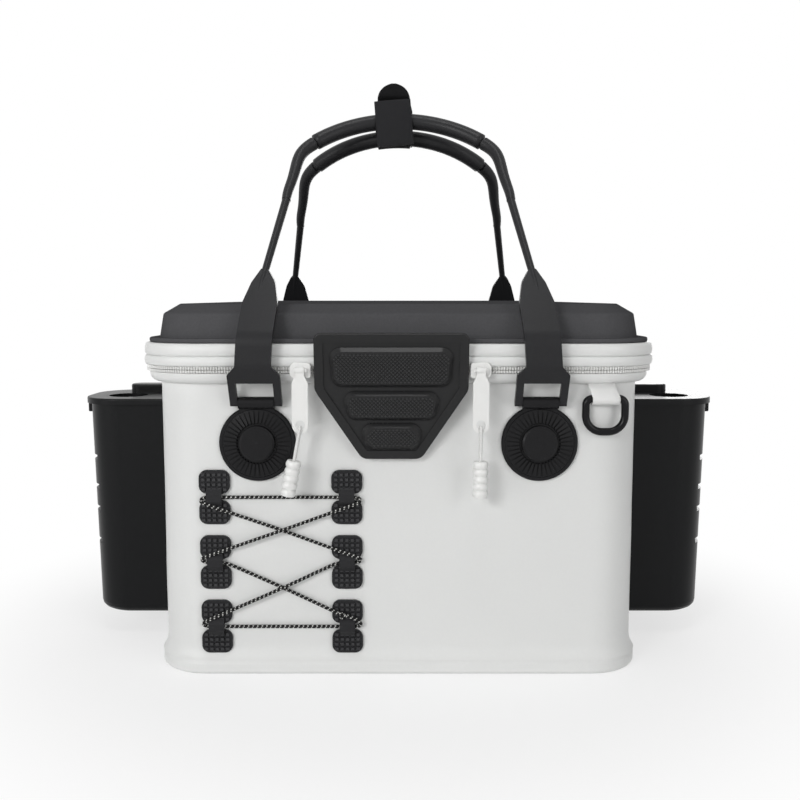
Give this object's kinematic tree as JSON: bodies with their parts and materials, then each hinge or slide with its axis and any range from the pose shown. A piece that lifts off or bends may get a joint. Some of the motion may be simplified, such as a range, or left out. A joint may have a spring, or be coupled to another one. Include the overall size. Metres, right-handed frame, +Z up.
{
  "type": "fishing bucket",
  "caption": "White soft-sided fishing tackle bucket with a zipped black lid, twin carry handles, a front flap, laced shock cord and a rod holder on each side.",
  "frame": {"origin": "centre of the base's underside, on the floor", "axes": "+X to the right across the front, +Y from the front to the back, +Z up"},
  "size_m": [0.526, 0.2857, 0.454],
  "materials": {
    "white_sheet": "satin coated foam sheet",
    "white_base": "moulded foam, satin",
    "black_lid": "moulded foam, fine grain",
    "black_rubber": "satin moulded rubber",
    "grip_foam": "matte foam",
    "wrap_cloth": "matte coated cloth",
    "holder_plastic": "moulded, soft sheen",
    "frame_plastic": "plain",
    "white_zip": "woven tape",
    "white_plastic": "moulded",
    "ring_plastic": "polished",
    "white_web": "woven",
    "shock_cord": "black braid with white flecks",
    "white_cord": "braid",
    "steel": "plain zinc"
  },
  "bodies": {
    "bucket": {"base_tray": "white_base", "bucket_wall": "white_sheet", "floor_panel": "white_sheet", "rim_collar": "white_sheet", "mouth_frame": "frame_plastic", "lower_zip": "white_zip", "hinge_strip": "white_sheet", "front_left_patch": "black_rubber", "front_left_anchor_loop": "black_rubber", "front_right_patch": "black_rubber", "front_right_anchor_loop": "black_rubber", "back_left_patch": "black_rubber", "back_left_anchor_loop": "black_rubber", "back_right_patch": "black_rubber", "back_right_anchor_loop": "black_rubber", "ring_web": "white_web", "cord_tab_top_left": "black_rubber", "cord_tab_top_right": "black_rubber", "cord_tab_middle_left": "black_rubber", "cord_tab_middle_right": "black_rubber", "cord_tab_bottom_left": "black_rubber", "cord_tab_bottom_right": "black_rubber", "shock_cord": "shock_cord", "cord_knot": "shock_cord", "flap_keeper": "steel", "left_holder_shell": "holder_plastic", "left_rod_tube": "holder_plastic", "left_holder_bracket": "holder_plastic", "left_holder_backing": "frame_plastic", "left_holder_screws": "steel", "right_holder_shell": "holder_plastic", "right_rod_tube": "holder_plastic", "right_holder_bracket": "holder_plastic", "right_holder_backing": "frame_plastic", "right_holder_screws": "steel"},
    "lid": {"lid_shell": "black_lid", "lid_band": "white_sheet", "upper_zip": "white_zip", "hinge_leaf": "white_sheet", "flap_hinge": "black_lid"},
    "flap": {"front_flap": "black_rubber", "flap_magnet": "steel"},
    "front_handle": {"front_handle": "black_rubber", "front_grip": "grip_foam", "front_wrap": "wrap_cloth"},
    "back_handle": {"back_handle": "black_rubber", "back_grip": "grip_foam", "back_wrap": "wrap_cloth"},
    "d_ring": {"d_ring": "ring_plastic"},
    "left_slider": {"left_slider": "white_plastic"},
    "left_pull": {"left_pull": "white_plastic"},
    "left_cord": {"left_pull_cord": "white_cord", "left_pull_grip": "white_plastic"},
    "right_slider": {"right_slider": "white_plastic"},
    "right_pull": {"right_pull": "white_plastic"},
    "right_cord": {"right_pull_cord": "white_cord", "right_pull_grip": "white_plastic"}
  },
  "joints": [
    {"name": "lid_open", "type": "hinge", "parent": "bucket", "child": "lid", "pos_m": [0, 0.129, 0.229], "axis": [-1, 0, 0], "range_deg": [0, 100]},
    {"name": "front_handle_swing", "type": "hinge", "parent": "bucket", "child": "front_handle", "pos_m": [0, -0.1246, 0.205], "axis": [1, 0, 0], "range_deg": [0, 130]},
    {"name": "back_handle_swing", "type": "hinge", "parent": "bucket", "child": "back_handle", "pos_m": [0, 0.1246, 0.205], "axis": [-1, 0, 0], "range_deg": [0, 130]},
    {"name": "flap_lift", "type": "hinge", "parent": "lid", "child": "flap", "pos_m": [0, -0.1223, 0.254], "axis": [-1, 0, 0], "range_deg": [0, 90]},
    {"name": "d_ring_swing", "type": "hinge", "parent": "bucket", "child": "d_ring", "pos_m": [0.15, -0.125, 0.208], "axis": [-1, 0, 0], "range_deg": [0, 110]},
    {"name": "left_slide", "type": "slide", "parent": "bucket", "child": "left_slider", "axis": [1, 0, 0], "range_m": [-0.005, 0.0005]},
    {"name": "left_pull_swing", "type": "hinge", "parent": "left_slider", "child": "left_pull", "pos_m": [-0.07, -0.138, 0.2295], "axis": [-1, 0, 0], "range_deg": [0, 100]},
    {"name": "left_cord_sway", "type": "hinge", "parent": "left_pull", "child": "left_cord", "pos_m": [-0.07, -0.138, 0.1883], "axis": [0, 1, 0], "range_deg": [-31, 9]},
    {"name": "right_slide", "type": "slide", "parent": "bucket", "child": "right_slider", "axis": [1, 0, 0], "range_m": [-0.0005, 0.005]},
    {"name": "right_pull_swing", "type": "hinge", "parent": "right_slider", "child": "right_pull", "pos_m": [0.0587, -0.138, 0.2295], "axis": [-1, 0, 0], "range_deg": [0, 100]},
    {"name": "right_cord_sway", "type": "hinge", "parent": "right_pull", "child": "right_cord", "pos_m": [0.0587, -0.138, 0.1883], "axis": [0, -1, 0], "range_deg": [-25, 20]}
  ],
  "couplings": [
    {"joint": "front_handle_swing", "follows": "lid_open", "ratio": 1.3},
    {"joint": "back_handle_swing", "follows": "lid_open", "ratio": 1.3}
  ]
}
